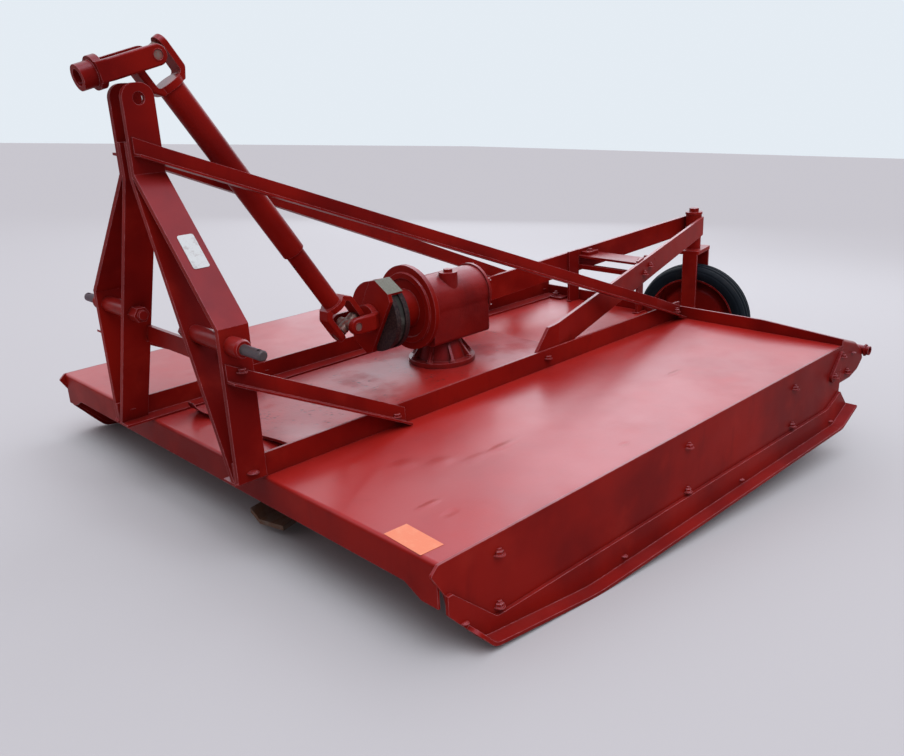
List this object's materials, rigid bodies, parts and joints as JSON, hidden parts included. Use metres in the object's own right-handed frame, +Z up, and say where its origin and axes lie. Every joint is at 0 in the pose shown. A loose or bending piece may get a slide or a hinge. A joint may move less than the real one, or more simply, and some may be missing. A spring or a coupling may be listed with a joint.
{
  "type": "rotary brush cutter",
  "caption": "Three-point-hitch rotary brush cutter: flat steel deck on skids, braced mast, gearbox with slip clutch and power shaft, free-swinging blades and a swivelling tail wheel.",
  "frame": {"origin": "middle of the bounding box, on the ground it parks on", "axes": "+X forward, towards the tractor; +Y to the machine's left; +Z up"},
  "size_m": [2.4703, 1.744, 1.1147],
  "materials": {
    "red_enamel": "glossy red enamel, brushed on over old paint",
    "cast_enamel": "red enamel on rough casting",
    "pin_steel": "dark greasy steel",
    "joint_steel": "worn steel with red overspray",
    "clutch_black": "dull black",
    "clutch_lining": "grey-green worn metal",
    "worn_steel": "bare worn steel with rust",
    "tyre_rubber": "smooth worn rubber"
  },
  "bodies": {
    "frame": {"deck": "red_enamel", "gearbox_plate": "red_enamel", "side_skirt_left": "red_enamel", "side_skirt_right": "red_enamel", "skid_left": "red_enamel", "skid_right": "red_enamel", "rear_stop": "red_enamel", "rear_hood": "red_enamel", "guard_pipe": "red_enamel", "rail_left": "red_enamel", "rail_right": "red_enamel", "mast_outer_left": "red_enamel", "mast_outer_right": "red_enamel", "mast_inner_left": "red_enamel", "mast_inner_right": "red_enamel", "mast_crossbar": "red_enamel", "hitch_pin_left": "pin_steel", "hitch_pin_right": "pin_steel", "pin_spacer_left": "red_enamel", "pin_spacer_right": "red_enamel", "long_brace_left": "red_enamel", "long_brace_right": "red_enamel", "short_brace_left": "red_enamel", "short_brace_right": "red_enamel", "tail_arm_left": "red_enamel", "tail_arm_right": "red_enamel", "tail_post_left": "red_enamel", "tail_post_right": "red_enamel", "tail_tie": "red_enamel", "tail_tie_bar": "red_enamel", "tail_pivot_tube": "red_enamel", "gearbox_housing": "cast_enamel", "gearbox_cap": "cast_enamel", "filler_plug": "red_enamel", "input_flange": "red_enamel", "clutch_discs": "clutch_black", "clutch_lining": "clutch_lining", "clutch_plate": "red_enamel", "clutch_yoke": "red_enamel"},
    "rotor": {"rotor_hub": "worn_steel", "blade_carrier": "worn_steel"},
    "blade_a_body": {"blade_a": "worn_steel"},
    "blade_b_body": {"blade_b": "worn_steel"},
    "tail_caster": {"tail_fork": "red_enamel", "tail_axle": "joint_steel"},
    "tail_wheel": {"tail_rim": "red_enamel", "tail_tyre": "tyre_rubber"},
    "inner_shaft": {"shaft_inner": "red_enamel", "cross_lower": "joint_steel"},
    "outer_shaft": {"shaft_outer": "red_enamel", "cross_upper": "joint_steel"},
    "pto_yoke": {"tractor_yoke": "red_enamel"}
  },
  "joints": [
    {"name": "rotor_spin", "type": "hinge", "parent": "frame", "child": "rotor", "pos_m": [0.22512, 0, 0.17277], "axis": [0.0889, 0, 0.996], "continuous": true},
    {"name": "blade_a_swing", "type": "hinge", "parent": "rotor", "child": "blade_a_body", "pos_m": [0.50774, 0.07258, 0.06492], "axis": [0.0889, 0, 0.996], "range_deg": [-120, 120]},
    {"name": "blade_b_swing", "type": "hinge", "parent": "rotor", "child": "blade_b_body", "pos_m": [-0.07214, -0.07258, 0.11667], "axis": [0.0889, 0, 0.996], "range_deg": [-120, 120]},
    {"name": "tail_swivel", "type": "hinge", "parent": "frame", "child": "tail_caster", "pos_m": [-1.1076, 0, 0.57283], "axis": [0.0889, 0, 0.996], "continuous": true},
    {"name": "tail_wheel_spin", "type": "hinge", "parent": "tail_caster", "child": "tail_wheel", "pos_m": [-1.14182, 0.01467, 0.22449], "axis": [0.9743, 0.2079, -0.087], "continuous": true},
    {"name": "shaft_lift", "type": "hinge", "parent": "frame", "child": "inner_shaft", "pos_m": [0.58357, 0, 0.43193], "axis": [0, -1, 0], "range_deg": [0, 25]},
    {"name": "shaft_slide", "type": "slide", "parent": "inner_shaft", "child": "outer_shaft", "axis": [0.6106, -0.0373, 0.7911], "range_m": [0, 0.15]},
    {"name": "yoke_lift", "type": "hinge", "parent": "outer_shaft", "child": "pto_yoke", "pos_m": [1.07513, -0.03, 1.06875], "axis": [0, -1, 0], "range_deg": [0, 70]}
  ]
}
